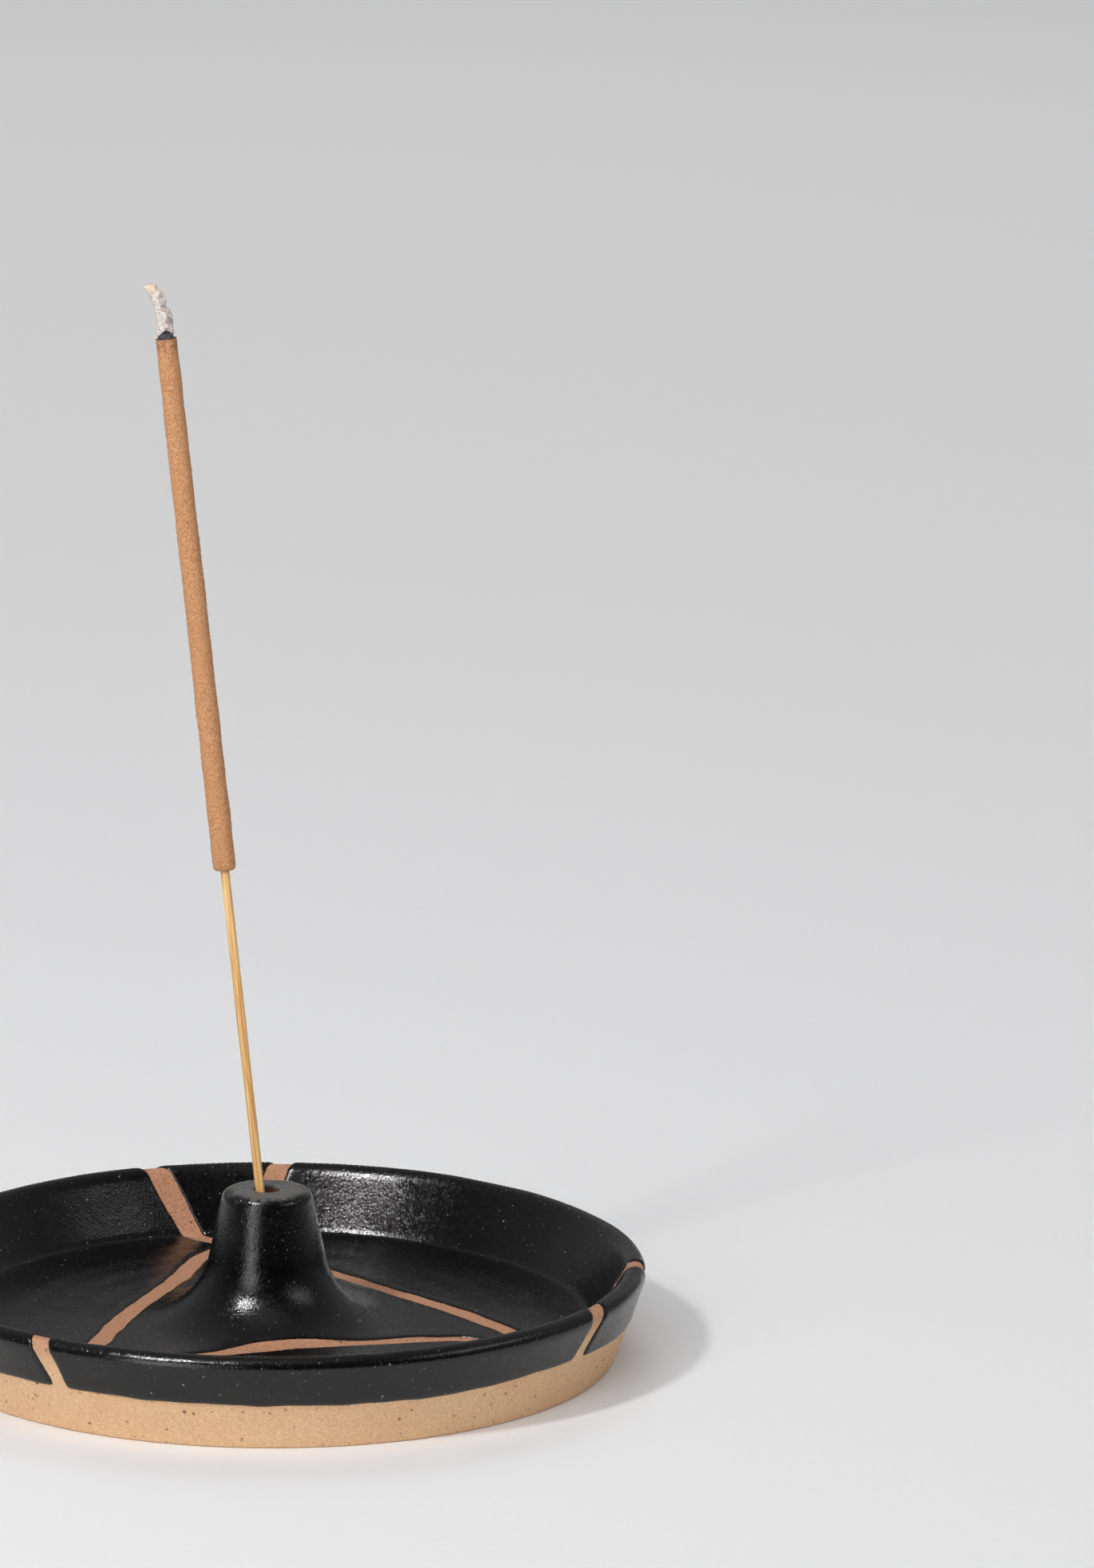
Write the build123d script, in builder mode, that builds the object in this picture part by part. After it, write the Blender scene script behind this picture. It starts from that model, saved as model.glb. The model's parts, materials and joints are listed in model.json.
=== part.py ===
"""Stoneware incense dish with an upright post, and the incense stick that leans in its hole.

The origin is on the table at the dish's axis, +Z is up, and the stick leans towards -X.
Lengths are in millimetres and angles in degrees.
"""

import os
from math import cos, hypot, radians, sin, tan

from build123d import *

# Dish. The clay outline and the glaze outline share their arc centres.
RIM_RADIUS = 57.0          # outside of the glazed rim
GLAZE = 0.3                # thickness of the glaze coat
LIP_ROUND = 1.46           # radius of the clay lip's round edge
LIP_HEIGHT = 12.9          # height of that round edge's centre
OUTER_LEAN = 19.0          # outer wall, from the vertical
INNER_LEAN = 29.7          # inner wall, from the vertical
FLOOR = 4.6                # height of the clay floor
COVE = 1.1                 # radius where the floor turns up into the wall
FOOT_EDGE = 0.5            # worn edge where the wall meets the table
RECESS_RADIUS = 44.0       # shallow hollow turned into the underside
RECESS_DEPTH = 0.6
GLAZE_LINE = 7.2           # the glaze stops here on the outer wall, and bare clay shows below

# Post, thrown in one piece with the floor and a little off the dish's centre.
POST_X = -0.5
POST_TOP = 24.7
POST_LEAN = 12.0           # side of the post, from the vertical
POST_ROUND = 1.3           # edge of its flat top
SKIRT_ROUND = 11.0         # concave sweep from the post into the floor
SKIRT_RADIUS = 19.55       # where that sweep meets the floor
HOLE_RADIUS = 1.75
HOLE_DEPTH = 17.8
HOLE_EDGE = 0.4            # rounded mouth of the hole
GLAZE_HOLE_RADIUS = 2.3    # the glaze stops short of the mouth

# Wax-resist brush strokes, where the clay stays bare. Each runs from rim to rim in plan.
STROKE_WIDTH = 3.0
STROKES = {
    "back_left_to_right": [
        (-20.4, 51.0), (-13.6, 46.2), (9.4, 25.2), (24.6, 9.6), (35.4, -3.6), (48.8, -25.2),
    ],
    "back_to_front_left": [
        (-0.6, 54.8), (-12.4, 33.5), (-16.0, 18.4), (-20.8, 4.3), (-24.2, -11.0), (-31.2, -45.9),
    ],
    "left_to_right": [
        (-45.0, -32.0), (-7.3, -20.0), (4.5, -16.0), (29.5, -9.4), (55.1, -1.7),
    ],
}
OVERRUN = 4.0              # each stroke is drawn this far past the rim before it is trimmed

# Glaze fields that the strokes leave, and the direction of the middle of each on the rim.
OUTER_FIELDS = {
    "glaze_back_wedge": 101.0,
    "glaze_rear_right": 45.0,
    "glaze_right_wedge": -15.0,
    "glaze_front": -76.0,
    "glaze_left_wedge": -134.5,
    "glaze_rear_left": 164.0,
}

# Incense stick. Distances along it are measured from its foot in the hole.
STICK_LEAN = 6.45          # from the vertical
CLEARANCE = 0.08           # between the bamboo and the clay that it leans on
CORE_RADIUS = 0.68
COAT_START = 67.6
COAT_LENGTH = 80.7
COAT_RADIUS = 1.7          # at the lower end
COAT_TIP_RADIUS = 1.56     # where it burns
COAT_ROUND = 0.6           # rounded lower end of the coat
CHAR_RADIUS = 1.3
CHAR_TIP_RADIUS = 0.25
CHAR_HEIGHT = 1.05
ASH_RADIUS = 1.2
ASH_RISE = 7.6             # of the ash column, along the stick
ASH_DRIFT = 1.45           # of its tip, away from the stick's line
ASH_ROUND = 0.5

# Derived sizes.
LIP_RADIUS = RIM_RADIUS - GLAZE - LIP_ROUND
BURIED = FLOOR / 2         # depth, inside the clay, at which the glaze envelope is closed off


def slope(angle):
    """Cosine and sine of an angle in degrees."""
    return cos(radians(angle)), sin(radians(angle))


def on_outer_wall(skin, height):
    """Point of the outer wall's line at a height, with the wall moved out by skin."""
    across, up = slope(OUTER_LEAN)
    lip_x = LIP_RADIUS + (LIP_ROUND + skin) * across
    lip_z = LIP_HEIGHT - (LIP_ROUND + skin) * up
    return lip_x - (lip_z - height) * up / across, height


def dish_section(skin, wall_end, closing):
    """Half section of the dish, moved out by skin and closed through the given points."""
    across, up = slope(OUTER_LEAN)
    lip = LIP_ROUND + skin
    lip_outside = (LIP_RADIUS + lip * across, LIP_HEIGHT - lip * up)
    across, up = slope(INNER_LEAN)
    lip_inside = (LIP_RADIUS - lip * across, LIP_HEIGHT + lip * up)
    floor = FLOOR + skin
    corner = lip_inside[0] - (lip_inside[1] - floor) * up / across
    reach = (COVE - skin) * tan(radians((90 - INNER_LEAN) / 2))
    with BuildSketch(Plane.XZ) as section:
        with BuildLine():
            flat = Line((0, floor), (corner - reach, floor))
            cove = TangentArc(flat @ 1, (corner + reach * up, floor + reach * across), tangent=(1, 0))
            wall = Line(cove @ 1, lip_inside)
            edge = TangentArc(wall @ 1, lip_outside, tangent=wall % 1)
            outside = Line(edge @ 1, wall_end)
            Polyline(outside @ 1, *closing, flat @ 0)
        make_face()
    return section.sketch


def post_section(skin):
    """Half section of the post and its skirt, moved out by skin and closed inside the floor."""
    across, up = slope(POST_LEAN)
    sweep = SKIRT_ROUND - skin
    center_z = FLOOR + SKIRT_ROUND
    side_foot = (SKIRT_RADIUS - sweep * across, center_z - sweep * up)
    bend = POST_ROUND + skin
    rise = (POST_TOP - POST_ROUND - side_foot[1] + bend * up) / across
    side_top = (side_foot[0] - rise * up, side_foot[1] + rise * across)
    top_edge = side_top[0] - bend * across
    with BuildSketch(Plane((POST_X, 0, 0), x_dir=(1, 0, 0), z_dir=(0, -1, 0))) as section:
        with BuildLine():
            skirt = TangentArc((SKIRT_RADIUS, FLOOR + skin), side_foot, tangent=(-1, 0))
            side = Line(skirt @ 1, side_top)
            bend_arc = TangentArc(side @ 1, (top_edge, POST_TOP + skin), tangent=side % 1)
            Polyline(bend_arc @ 1, (0, POST_TOP + skin), (0, BURIED), (SKIRT_RADIUS, BURIED), skirt @ 0)
        make_face()
    return section.sketch


def past_rim(inner, rim):
    """Direction of a stroke's last run, and the point where it ends past the rim."""
    run = hypot(rim[0] - inner[0], rim[1] - inner[1])
    direction = ((rim[0] - inner[0]) / run, (rim[1] - inner[1]) / run)
    return direction, (rim[0] + OVERRUN * direction[0], rim[1] + OVERRUN * direction[1])


# One fired clay piece: dish, post and blind hole.
post_axis = Axis((POST_X, 0, 0), (0, 0, 1))
foot = on_outer_wall(0, 0)
underside = [(RECESS_RADIUS + RECESS_DEPTH, 0), (RECESS_RADIUS, RECESS_DEPTH), (0, RECESS_DEPTH)]

with BuildPart() as clay_body:
    add(dish_section(0, foot, underside))
    revolve(axis=Axis.Z)
    foot_edge = clay_body.edges().filter_by(GeomType.CIRCLE).group_by(Axis.Z)[0].sort_by(SortBy.RADIUS)[-1]
    fillet(foot_edge, radius=FOOT_EDGE)
    add(post_section(0))
    revolve(axis=post_axis)
    with Locations((POST_X, 0, POST_TOP)):
        Hole(radius=HOLE_RADIUS, depth=HOLE_DEPTH)
    mouth = clay_body.edges().filter_by(GeomType.CIRCLE).group_by(Axis.Z)[-1].sort_by(SortBy.RADIUS)[0]
    fillet(mouth, radius=HOLE_EDGE)

# Glaze coat: the clay's outline moved out by the glaze, less the clay itself.
wall_across, wall_up = slope(OUTER_LEAN)
glaze_foot = on_outer_wall(GLAZE, GLAZE_LINE)
in_wall = (glaze_foot[0] - LIP_ROUND * wall_across, glaze_foot[1] + LIP_ROUND * wall_up)

with BuildPart() as glaze_coat:
    add(dish_section(GLAZE, glaze_foot, [in_wall, (RECESS_RADIUS, BURIED), (0, BURIED)]))
    revolve(axis=Axis.Z)
    add(post_section(GLAZE))
    revolve(axis=post_axis)
    with Locations((POST_X, 0, POST_TOP + GLAZE)):
        Hole(radius=GLAZE_HOLE_RADIUS)
    add(clay_body.part, mode=Mode.SUBTRACT)

# The strokes: a ribbon as far out as the lip's crest, then a band down the outer wall at each end.
for route in STROKES.values():
    start_direction, start = past_rim(route[1], route[0])
    end_direction, end = past_rim(route[-2], route[-1])
    with BuildPart() as stroke:
        with BuildSketch(Plane.XY.offset(FLOOR)):
            with BuildLine():
                Spline(start, *route, end)
            trace(line_width=STROKE_WIDTH)
            Circle(LIP_RADIUS, mode=Mode.INTERSECT)
        extrude(amount=POST_TOP)
        for rim, direction in ((route[0], start_direction), (route[-1], end_direction)):
            outward = Vector(rim[0], rim[1]).normalized()
            around = Vector(0, 0, 1).cross(outward)
            heading = Vector(*direction)
            half_width = STROKE_WIDTH / 2 / heading.dot(outward)
            drop = LIP_HEIGHT - GLAZE_LINE + GLAZE
            drift = drop * heading.dot(around) / heading.dot(outward)
            with BuildSketch(Plane(outward * (LIP_RADIUS - GLAZE), x_dir=around, z_dir=outward)):
                with BuildLine():
                    Polyline(
                        (-half_width, LIP_HEIGHT + 2 * LIP_ROUND),
                        (half_width, LIP_HEIGHT + 2 * LIP_ROUND),
                        (half_width, LIP_HEIGHT),
                        (half_width + drift, LIP_HEIGHT - drop),
                        (-half_width + drift, LIP_HEIGHT - drop),
                        (-half_width, LIP_HEIGHT),
                        close=True,
                    )
                make_face()
            extrude(amount=OVERRUN)
    with BuildPart() as cut_coat:
        add(glaze_coat.part)
        add(stroke.part, mode=Mode.SUBTRACT)
    glaze_coat = cut_coat

# Bamboo core, set in the hole so that it leans on the mouth and its foot stands across from it.
lean_across, lean_up = slope(STICK_LEAN)
lean_x = POST_X - HOLE_RADIUS + CLEARANCE + CORE_RADIUS / lean_across
lean_z = POST_TOP - HOLE_EDGE
foot_z = POST_TOP - HOLE_DEPTH + CLEARANCE + CORE_RADIUS * lean_up
foot_x = lean_x + (lean_z - foot_z) * lean_up / lean_across
stick = Plane((foot_x, 0, foot_z), x_dir=(-lean_across, 0, -lean_up), z_dir=(-lean_up, 0, lean_across))
burn_front = COAT_START + COAT_LENGTH

with BuildPart() as bamboo_core:
    with BuildSketch(stick):
        Circle(CORE_RADIUS)
    extrude(amount=burn_front)

with BuildPart() as incense_coat:
    with BuildSketch(stick.offset(COAT_START)):
        Circle(COAT_RADIUS)
    with BuildSketch(stick.offset(burn_front)):
        Circle(COAT_TIP_RADIUS)
    loft()
    fillet(incense_coat.edges().sort_by(Axis.Z)[0], radius=COAT_ROUND)
    with BuildSketch(stick.offset(COAT_START)):
        Circle(CORE_RADIUS)
    extrude(amount=COAT_LENGTH, mode=Mode.SUBTRACT)

# Charred cone at the burning end, and the ash column that still stands over it.
with BuildPart() as char_cone:
    with BuildSketch(stick.offset(burn_front)):
        Circle(CHAR_RADIUS)
    with BuildSketch(stick.offset(burn_front + CHAR_HEIGHT)):
        Circle(CHAR_TIP_RADIUS)
    loft()

ash_side = Plane(stick.offset(burn_front).origin, x_dir=stick.x_dir, z_dir=(0, 1, 0))
with BuildPart() as ash_column:
    with BuildLine(ash_side) as ash_line:
        TangentArc((0, 0), (ASH_DRIFT, ASH_RISE), tangent=(0, 1))
    with BuildSketch(stick.offset(burn_front)):
        Circle(ASH_RADIUS)
    sweep(path=ash_line.wires()[0])
    fillet(ash_column.edges().sort_by(Axis.Z)[-1], radius=ASH_ROUND)
    add(char_cone.part, mode=Mode.SUBTRACT)

# Every finished piece gets its name and its own file.
os.makedirs("parts", exist_ok=True)

clay_body.part.label = "clay_body"
export_step(clay_body.part, "parts/clay_body.step")
bamboo_core.part.label = "bamboo_core"
export_step(bamboo_core.part, "parts/bamboo_core.step")
incense_coat.part.label = "incense_coat"
export_step(incense_coat.part, "parts/incense_coat.step")
char_cone.part.label = "char_cone"
export_step(char_cone.part, "parts/char_cone.step")
ash_column.part.label = "ash_column"
export_step(ash_column.part, "parts/ash_column.step")

field_marks = {"glaze_center": (SKIRT_RADIUS / 2, 0, POST_TOP / 2)}
for name, bearing in OUTER_FIELDS.items():
    mark_x, mark_y = slope(bearing)
    field_marks[name] = (LIP_RADIUS * mark_x, LIP_RADIUS * mark_y, LIP_HEIGHT + LIP_ROUND)
for name, mark in field_marks.items():
    nearest = min(glaze_coat.part.solids(), key=lambda solid: solid.distance_to(Vector(*mark)))
    with BuildPart() as field:
        add(nearest)
    field.part.label = name
    export_step(field.part, f"parts/{name}.step")
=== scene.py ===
"""Looks of the incense burner: a wax-resist stoneware dish and the incense stick burning in its post.

Blender works in metres. Lengths here are in millimetres until mesh_piece() scales them.
"""

import json
import math

import bpy
import numpy as np
from mathutils import Matrix, Vector
from mathutils.geometry import delaunay_2d_cdt


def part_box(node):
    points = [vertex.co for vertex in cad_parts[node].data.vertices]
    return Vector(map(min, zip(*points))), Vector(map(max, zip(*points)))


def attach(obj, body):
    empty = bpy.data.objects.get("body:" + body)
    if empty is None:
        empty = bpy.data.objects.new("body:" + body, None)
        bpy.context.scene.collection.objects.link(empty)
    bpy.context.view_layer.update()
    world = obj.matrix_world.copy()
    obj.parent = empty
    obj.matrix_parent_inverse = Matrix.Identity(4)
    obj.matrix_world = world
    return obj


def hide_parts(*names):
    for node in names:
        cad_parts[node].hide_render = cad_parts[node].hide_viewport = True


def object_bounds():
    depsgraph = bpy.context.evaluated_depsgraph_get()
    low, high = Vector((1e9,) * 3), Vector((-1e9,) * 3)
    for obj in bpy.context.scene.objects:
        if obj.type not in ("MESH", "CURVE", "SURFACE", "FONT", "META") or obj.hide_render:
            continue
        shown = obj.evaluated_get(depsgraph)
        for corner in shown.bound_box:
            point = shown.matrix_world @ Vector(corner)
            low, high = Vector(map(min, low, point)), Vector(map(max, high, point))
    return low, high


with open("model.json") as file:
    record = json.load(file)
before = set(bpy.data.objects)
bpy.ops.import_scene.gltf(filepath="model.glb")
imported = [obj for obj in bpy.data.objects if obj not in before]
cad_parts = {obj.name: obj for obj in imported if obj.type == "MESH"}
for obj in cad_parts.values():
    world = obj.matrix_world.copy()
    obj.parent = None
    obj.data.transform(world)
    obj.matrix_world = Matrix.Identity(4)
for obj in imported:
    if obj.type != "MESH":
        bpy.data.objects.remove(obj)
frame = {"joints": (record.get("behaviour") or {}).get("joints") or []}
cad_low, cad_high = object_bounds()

MM = 0.001
TAU = 2 * math.pi
UP = math.pi / 2


def box_mm(node):
    """Lowest and highest corner of a CAD node, in millimetres."""
    low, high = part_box(node)
    return np.array(low) / MM, np.array(high) / MM


# --------------------------------------------------------------------------- camera
# Place, tilt and roll of the photograph's view. The long side of the frame is the sensor's.
CAMERA_PLACE = (0.040958, -1.051503, 0.304278)
CAMERA_PITCH = 0.202779
CAMERA_ROLL = 0.014415
CAMERA_LENS = 164.89
SENSOR = 36.0


def add_camera():
    right = Vector((1, 0, 0))
    up = Vector((0, math.sin(CAMERA_PITCH), math.cos(CAMERA_PITCH)))
    forward = Vector((0, math.cos(CAMERA_PITCH), -math.sin(CAMERA_PITCH)))
    rolled_right = math.cos(CAMERA_ROLL) * right + math.sin(CAMERA_ROLL) * up
    rolled_up = math.cos(CAMERA_ROLL) * up - math.sin(CAMERA_ROLL) * right
    axes = Matrix((rolled_right, rolled_up, -forward)).transposed().to_4x4()
    data = bpy.data.cameras.new("camera")
    data.lens = CAMERA_LENS
    data.sensor_width = SENSOR
    data.clip_start, data.clip_end = 0.01, 50.0
    camera = bpy.data.objects.new("camera", data)
    camera.matrix_world = Matrix.Translation(CAMERA_PLACE) @ axes
    bpy.context.scene.collection.objects.link(camera)
    bpy.context.scene.camera = camera


# --------------------------------------------------------------------------- small tools
def smoothstep(low, high, value):
    t = np.clip((value - low) / (high - low), 0, 1)
    return t * t * (3 - 2 * t)


def window(rise, fall, value):
    """1 between two ramps and 0 outside them. Each ramp is its low end and its high end."""
    return smoothstep(*rise, value) * (1 - smoothstep(*fall, value))


class Ripple:
    """Smooth seeded noise of about unit size: a sum of waves in random directions."""

    def __init__(self, seed, wavelength, dimensions, waves=14):
        draw = np.random.default_rng(seed)
        direction = draw.normal(size=(waves, dimensions))
        direction /= np.linalg.norm(direction, axis=1)[:, None]
        stretch = draw.uniform(0.6, 1.6, waves)
        self.turns = direction * (TAU / wavelength * stretch)[:, None]
        self.phase = draw.uniform(0, TAU, waves)
        self.gain = math.sqrt(2 / waves)

    def __call__(self, points):
        points = np.asarray(points, float).reshape(-1, self.turns.shape[1])
        total = np.zeros(len(points))
        for turn, phase in zip(self.turns, self.phase):
            total += np.cos(points @ turn + phase)
        return total * self.gain


def ring_noise(seed, lobes, count=6):
    """Noise round a ring: a function of the angle that closes on itself."""
    draw = np.random.default_rng(seed)
    orders = draw.integers(1, lobes + 1, count)
    phases = draw.uniform(0, TAU, count)
    return lambda angle: sum(np.cos(k * angle + p) for k, p in zip(orders, phases)) / math.sqrt(count / 2)


def mesh_piece(name, points, faces, material, body, nodes, values, sharp=()):
    """Makes a smooth mesh object from points in millimetres, gives it its body and material slot, and hides
    the CAD nodes it stands in for.

    The values are numbers at the points, which the materials read. The pairs in sharp are creased edges.
    """
    mesh = bpy.data.meshes.new(name)
    mesh.from_pydata((np.asarray(points) * MM).tolist(), [], [list(map(int, f)) for f in faces])
    mesh.update()
    mesh.shade_smooth()
    for key, numbers in values.items():
        layer = mesh.attributes.new(key, "FLOAT", "POINT")
        layer.data.foreach_set("value", np.asarray(numbers, np.float32))
    if sharp:
        layer = mesh.attributes.new("sharp_edge", "BOOLEAN", "EDGE")
        for edge in mesh.edges:
            layer.data[edge.index].value = tuple(sorted(edge.vertices)) in sharp
    mesh.materials.append(material)
    piece = bpy.data.objects.new(name, mesh)
    bpy.context.scene.collection.objects.link(piece)
    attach(piece, body)
    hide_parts(*nodes)


def tube_faces(rows, columns):
    """Faces of a closed tube: quads between its rings of points, and a fan at each end.

    The first point is the middle of one end, then come the rings, then the middle of the other end.
    """
    faces = []
    for i in range(rows - 1):
        for j in range(columns):
            k = (j + 1) % columns
            a, b = 1 + i * columns, 1 + (i + 1) * columns
            faces.append((a + j, a + k, b + k, b + j))
    tip = 1 + rows * columns
    last = tip - columns
    faces += [(0, 1 + (j + 1) % columns, 1 + j) for j in range(columns)]
    faces += [(tip, last + j, last + (j + 1) % columns) for j in range(columns)]
    return faces


# --------------------------------------------------------------------------- dish meridian
# The CAD model's outline, with a slightly fuller skirt round the post. Its sizes come from the
# frame where a node's box shows them.
clay_high = box_mm("clay_body")[1]
front_high = box_mm("glaze_front")[1]
center_high = box_mm("glaze_center")[1]

RIM_RADIUS = float(cad_high[0]) / MM
POST_TOP = clay_high[2]
GLAZE = center_high[2] - POST_TOP
GLAZE_LINE = 7.2
LIP_HEIGHT = 12.9
LIP_ROUND = front_high[2] - LIP_HEIGHT - GLAZE
LIP_RADIUS = RIM_RADIUS - GLAZE - LIP_ROUND
OUTER_LEAN, INNER_LEAN = math.radians(19.0), math.radians(29.7)
FLOOR, COVE = 4.6, 1.1
FOOT_EDGE = 0.5
RECESS_RADIUS, RECESS_DEPTH = 44.0, 0.6
POST_X = -0.5
POST_LEAN, POST_ROUND = math.radians(12.0), 1.3
SKIRT_ROUND, SKIRT_RADIUS = 12.5, 20.77
HOLE_RADIUS, HOLE_DEPTH, HOLE_EDGE = 1.75, 17.8, 0.4
MOUTH_RADIUS = HOLE_RADIUS + HOLE_EDGE


class Meridian:
    """Half outline of the clay from the middle of the hole to the middle of the underside.

    Each sample holds radius, height, the normal and the mesh spacing wanted there.
    """

    STEP = 0.05

    def __init__(self):
        self.rows = []
        self.marks = {}

    def mark(self, name):
        """Names the place that the outline has reached."""
        self.marks[name] = len(self.rows)

    def line(self, start, end, spacing):
        run = np.subtract(end, start)
        length = np.hypot(*run)
        normal = (-run[1] / length, run[0] / length)
        for t in np.arange(0, length, self.STEP) / length:
            self.rows.append((*(np.asarray(start) + t * run), *normal, spacing))

    def arc(self, center, radius, start, end, spacing, hollow=False):
        """Arc whose normal turns from start to end; hollow arcs curve away from their normal."""
        steps = max(2, int(abs(end - start) * radius / self.STEP))
        reach = -radius if hollow else radius
        for angle in np.linspace(start, end, steps, endpoint=False):
            across, rise = math.cos(angle), math.sin(angle)
            place = (center[0] + reach * across, center[1] + reach * rise)
            self.rows.append((*place, across, rise, spacing))

    def close(self):
        """Measures the outline and returns the distance along it of every marked place."""
        self.table = np.array(self.rows)
        step = np.hypot(*np.diff(self.table[:, :2], axis=0).T)
        self.s = np.concatenate([[0], np.cumsum(step)])
        return {name: float(self.s[row]) for name, row in self.marks.items()}

    def at(self, s):
        """Radius, height and normal at distance s along the outline."""
        return [np.interp(s, self.s, self.table[:, k]) for k in range(4)]

    def stations(self, first, last):
        """Distances along the outline, spaced as each stretch asks."""
        places = [first]
        while places[-1] < last:
            places.append(places[-1] + float(np.interp(places[-1], self.s, self.table[:, 4])))
        places = np.array(places)
        return first + (places - first) * (last - first) / (places[-1] - first)


def hole_outline(out):
    """The hole, from the middle of its bottom to its rounded mouth."""
    bottom = POST_TOP - HOLE_DEPTH
    out.line((0, bottom), (HOLE_RADIUS, bottom), spacing=0.9)
    out.line((HOLE_RADIUS, bottom), (HOLE_RADIUS, POST_TOP - HOLE_EDGE), spacing=1.2)
    out.arc((MOUTH_RADIUS, POST_TOP - HOLE_EDGE), HOLE_EDGE, math.pi, UP, spacing=0.12)
    out.mark("mouth")


def post_outline(out):
    """The post's flat top, its rounded shoulder, its leaning side and its skirt."""
    across, rise = math.cos(POST_LEAN), math.sin(POST_LEAN)
    center_z = FLOOR + SKIRT_ROUND
    side_foot = (SKIRT_RADIUS - SKIRT_ROUND * across, center_z - SKIRT_ROUND * rise)
    bend_z = POST_TOP - POST_ROUND
    length = (bend_z - side_foot[1] + POST_ROUND * rise) / across
    side_top = (side_foot[0] - length * rise, side_foot[1] + length * across)
    bend_x = side_top[0] - POST_ROUND * across
    out.line((MOUTH_RADIUS, POST_TOP), (bend_x, POST_TOP), spacing=0.6)
    out.arc((bend_x, bend_z), POST_ROUND, UP, POST_LEAN, spacing=0.2)
    out.line(side_top, side_foot, spacing=0.9)
    out.arc((SKIRT_RADIUS, center_z), SKIRT_ROUND, POST_LEAN, UP, spacing=0.7, hollow=True)
    out.mark("floor")


def basin_outline(out):
    """The floor, the cove at its edge, the inner wall and the lip up to its crest."""
    lip_in = math.pi - INNER_LEAN
    wall_top = (LIP_RADIUS + LIP_ROUND * math.cos(lip_in), LIP_HEIGHT + LIP_ROUND * math.sin(lip_in))
    corner = wall_top[0] - (wall_top[1] - FLOOR) * math.tan(INNER_LEAN)
    reach = COVE * math.tan((UP - INNER_LEAN) / 2)
    wall_foot = (corner + reach * math.sin(INNER_LEAN), FLOOR + reach * math.cos(INNER_LEAN))
    out.line((SKIRT_RADIUS, FLOOR), (corner - reach, FLOOR), spacing=1.2)
    out.mark("cove")
    out.arc((corner - reach, FLOOR + COVE), COVE, UP, lip_in, spacing=0.2, hollow=True)
    out.line(wall_foot, wall_top, spacing=0.8)
    out.arc((LIP_RADIUS, LIP_HEIGHT), LIP_ROUND, lip_in, UP, spacing=0.22)
    out.mark("crest")


def outside_outline(out):
    """The outer half of the lip, the outer wall, the foot ring and the recess under it."""
    across, rise = math.cos(OUTER_LEAN), math.sin(OUTER_LEAN)
    lip_out = (LIP_RADIUS + LIP_ROUND * across, LIP_HEIGHT - LIP_ROUND * rise)
    foot_turn = FOOT_EDGE * (1 - rise)
    foot_out = (lip_out[0] - (lip_out[1] - foot_turn) * rise / across, foot_turn)
    foot_center = (foot_out[0] - FOOT_EDGE * across, FOOT_EDGE)
    out.arc((LIP_RADIUS, LIP_HEIGHT), LIP_ROUND, UP, -OUTER_LEAN, spacing=0.22)
    out.mark("wall")
    out.line(lip_out, foot_out, spacing=0.5)
    out.mark("foot")
    out.arc(foot_center, FOOT_EDGE, -OUTER_LEAN, -UP, spacing=0.12)
    out.line((foot_center[0], 0), (RECESS_RADIUS + RECESS_DEPTH, 0), spacing=1.2)
    out.line((RECESS_RADIUS + RECESS_DEPTH, 0), (RECESS_RADIUS, RECESS_DEPTH), spacing=0.3)
    out.line((RECESS_RADIUS, RECESS_DEPTH), (0, RECESS_DEPTH), spacing=1.5)
    out.rows.append((0, RECESS_DEPTH, 0, -1, 1.5))


outline = Meridian()
hole_outline(outline)
post_outline(outline)
basin_outline(outline)
outside_outline(outline)
mark = outline.close()


def at_height_on_wall(height):
    """Distance along the outline at which the outer wall has this height."""
    on_wall = (outline.s >= mark["wall"]) & (outline.s <= mark["foot"])
    return float(np.interp(-height, -outline.table[on_wall, 1], outline.s[on_wall]))


# How far the thrower's hands and the faint rings of throwing stand off the true outline.
HAND_DEPTH, THROWING_DEPTH = 0.05, 0.012
RING_DEPTH, RING_PITCH = 0.028, 5.2
hand_wall = Ripple(11, 26.0, 3)
throwing = Ripple(12, 9.0, 3)
glaze_line_s = at_height_on_wall(GLAZE_LINE)


def unevenness(s, angle):
    """How far the thrower's hands left the clay from a true circle, along the normal."""
    radius, height, _, _ = outline.at(s)
    place = np.stack([radius * np.cos(angle), radius * np.sin(angle), height], 1)
    mouth, floor, cove, foot = (mark[name] for name in ("mouth", "floor", "cove", "foot"))
    open_part = window((mouth + 0.4, mouth + 3.0), (foot - 2.0, foot - 0.5), s)
    on_floor = window((floor - 8, floor + 4), (cove - 1, cove + 4), s)
    rings = np.cos(TAU * (radius - angle / TAU * RING_PITCH) / RING_PITCH) * RING_DEPTH * on_floor
    return open_part * (HAND_DEPTH * hand_wall(place) + THROWING_DEPTH * throwing(place)) + rings


def off_axis(s):
    """The post stands a little to one side, and the floor takes up the difference."""
    return POST_X * (1 - smoothstep(mark["floor"], mark["cove"] - 2, s))


def surface(s, angle, lift):
    """Points on the dish at distance s along the outline, lifted off the clay along its normal."""
    radius, height, normal_r, normal_z = outline.at(s)
    lift = lift + unevenness(s, angle)
    reach = radius + lift * normal_r
    return np.stack([off_axis(s) + reach * np.cos(angle), reach * np.sin(angle), height + lift * normal_z], 1)


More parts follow.
